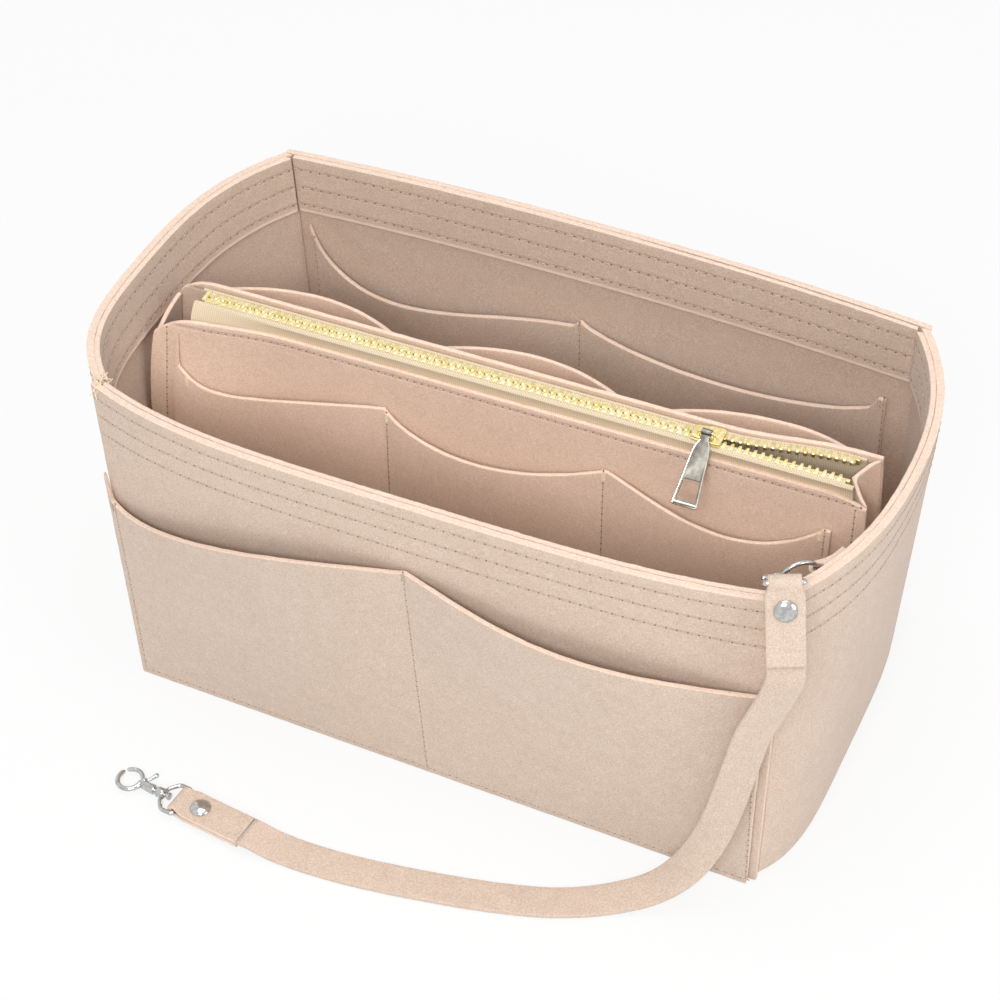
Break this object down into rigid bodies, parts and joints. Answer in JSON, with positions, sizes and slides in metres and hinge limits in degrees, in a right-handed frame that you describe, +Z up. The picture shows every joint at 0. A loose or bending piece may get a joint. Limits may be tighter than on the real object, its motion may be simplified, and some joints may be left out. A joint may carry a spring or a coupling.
{
  "type": "handbag organizer",
  "caption": "Felt handbag organizer: open pocketed case, zipped felt pouch standing in it, and a felt key strap with swivel clasps.",
  "frame": {"origin": "centre of the case's underside", "axes": "+X along the case's length, +Y towards the back wall, +Z up"},
  "size_m": [0.3554, 0.2584, 0.1894],
  "materials": {
    "case_felt": "pressed felt",
    "pouch_felt": "pressed felt",
    "zipper_tape": "woven tape",
    "gold_metal": "pale plated",
    "puller_metal": "satin",
    "chrome": "polished"
  },
  "bodies": {
    "case": {"gusset_strip": "case_felt", "front_panel": "case_felt", "back_panel": "case_felt", "front_hem_band": "case_felt", "back_hem_band": "case_felt", "left_hem_band": "case_felt", "right_hem_band": "case_felt", "front_pocket_panel": "case_felt", "back_pocket_panel": "case_felt", "anchor_tab": "case_felt", "strap": "case_felt", "upper_strap_tab": "case_felt", "lower_strap_tab": "case_felt", "anchor_ring": "chrome", "upper_rivet": "chrome", "lower_rivet": "chrome", "upper_clasp_loop": "chrome", "lower_clasp_loop": "chrome"},
    "pouch": {"pouch_gusset_strip": "pouch_felt", "pouch_front_panel": "pouch_felt", "pouch_back_panel": "pouch_felt", "pouch_front_pockets": "pouch_felt", "pouch_back_pockets": "pouch_felt", "front_zipper_tape": "zipper_tape", "back_zipper_tape": "zipper_tape", "front_zipper_teeth": "gold_metal", "back_zipper_teeth": "gold_metal", "zipper_bottom_stop": "gold_metal", "front_top_stop": "gold_metal", "back_top_stop": "gold_metal"},
    "slider": {"zipper_slider": "gold_metal"},
    "puller": {"zipper_puller": "puller_metal"},
    "upper_hook": {"upper_clasp_hook": "chrome"},
    "upper_trigger": {"upper_clasp_trigger": "chrome"},
    "lower_hook": {"lower_clasp_hook": "chrome"},
    "lower_trigger": {"lower_clasp_trigger": "chrome"}
  },
  "joints": [
    {"name": "pouch_lift", "type": "slide", "parent": "case", "child": "pouch", "axis": [0, 0, 1], "range_m": [0, 0.2]},
    {"name": "slider_travel", "type": "slide", "parent": "pouch", "child": "slider", "axis": [0.9997, 0.0227, 0], "range_m": [-0.2235, 0.0505], "deforming": ["front_zipper_tape", "back_zipper_tape", "front_zipper_teeth", "back_zipper_teeth"]},
    {"name": "puller_turn", "type": "hinge", "parent": "slider", "child": "puller", "pos_m": [0.08862, -0.00459, 0.1669], "axis": [-0.9997, -0.0227, 0], "range_deg": [0, 195]},
    {"name": "upper_hook_swivel", "type": "hinge", "parent": "case", "child": "upper_hook", "pos_m": [0.14927, -0.07912, 0.17777], "axis": [-0.2777, 0.6896, -0.6688], "range_deg": [-12, 12]},
    {"name": "upper_trigger_press", "type": "hinge", "parent": "upper_hook", "child": "upper_trigger", "pos_m": [0.14532, -0.07334, 0.17162], "axis": [0.2498, -0.6204, -0.7434], "range_deg": [0, 18], "stiffness_Nm_per_rad": 0.004, "springref_deg": -11.46},
    {"name": "lower_hook_swivel", "type": "hinge", "parent": "case", "child": "lower_hook", "pos_m": [-0.10513, -0.15221, 0.0037], "axis": [-0.9938, 0.0989, -0.0501], "continuous": true},
    {"name": "lower_trigger_press", "type": "hinge", "parent": "lower_hook", "child": "lower_trigger", "pos_m": [-0.11412, -0.14981, 0.00324], "axis": [-0.0499, 0.005, 0.9987], "range_deg": [0, 22], "stiffness_Nm_per_rad": 0.004, "springref_deg": -11.46}
  ]
}
